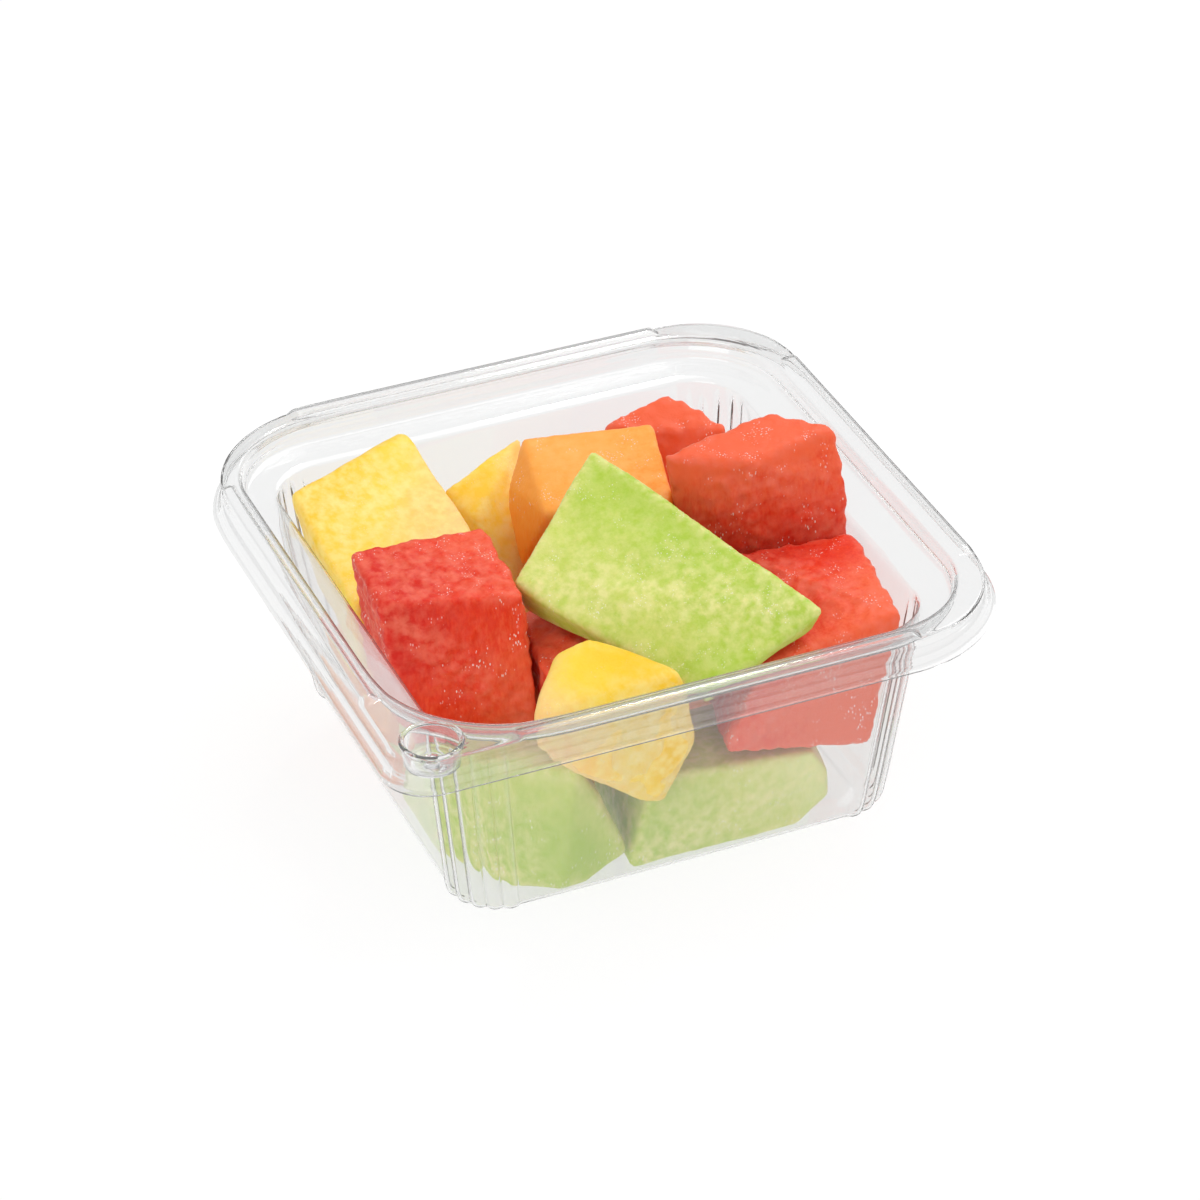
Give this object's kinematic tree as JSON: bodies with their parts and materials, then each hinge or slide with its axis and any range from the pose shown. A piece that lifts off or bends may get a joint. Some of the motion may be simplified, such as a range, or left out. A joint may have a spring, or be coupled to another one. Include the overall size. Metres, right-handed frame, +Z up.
{
  "type": "fruit cup",
  "caption": "Square clear thermoformed tub with an open top and a wide stepped rim, filled with loose cut chunks of red, orange, yellow and green melon.",
  "frame": {"origin": "middle of the tub's base, on the table", "axes": "+Z up, -Y towards the tub's near side; the round button of the rim is in the -X -Y corner"},
  "size_m": [0.1268, 0.1268, 0.0634],
  "materials": {
    "clear_plastic": "clear gloss",
    "red_melon": "wet cut fruit",
    "orange_melon": "wet cut fruit",
    "yellow_melon": "wet cut fruit",
    "green_melon": "wet cut fruit"
  },
  "bodies": {
    "root": {"tub": "clear_plastic", "red_right": "red_melon", "green_front_right": "green_melon", "green_front_left": "green_melon", "yellow_front": "yellow_melon", "red_front_left": "red_melon", "green_top": "green_melon", "orange_back_middle": "orange_melon", "red_far_back": "red_melon", "red_back_right": "red_melon", "yellow_back_middle": "yellow_melon", "yellow_back_left": "yellow_melon", "red_middle": "red_melon", "orange_low_left": "orange_melon", "yellow_low_middle": "yellow_melon", "orange_low_right": "orange_melon", "green_low_back_right": "green_melon", "red_low_back": "red_melon"}
  },
  "joints": []
}
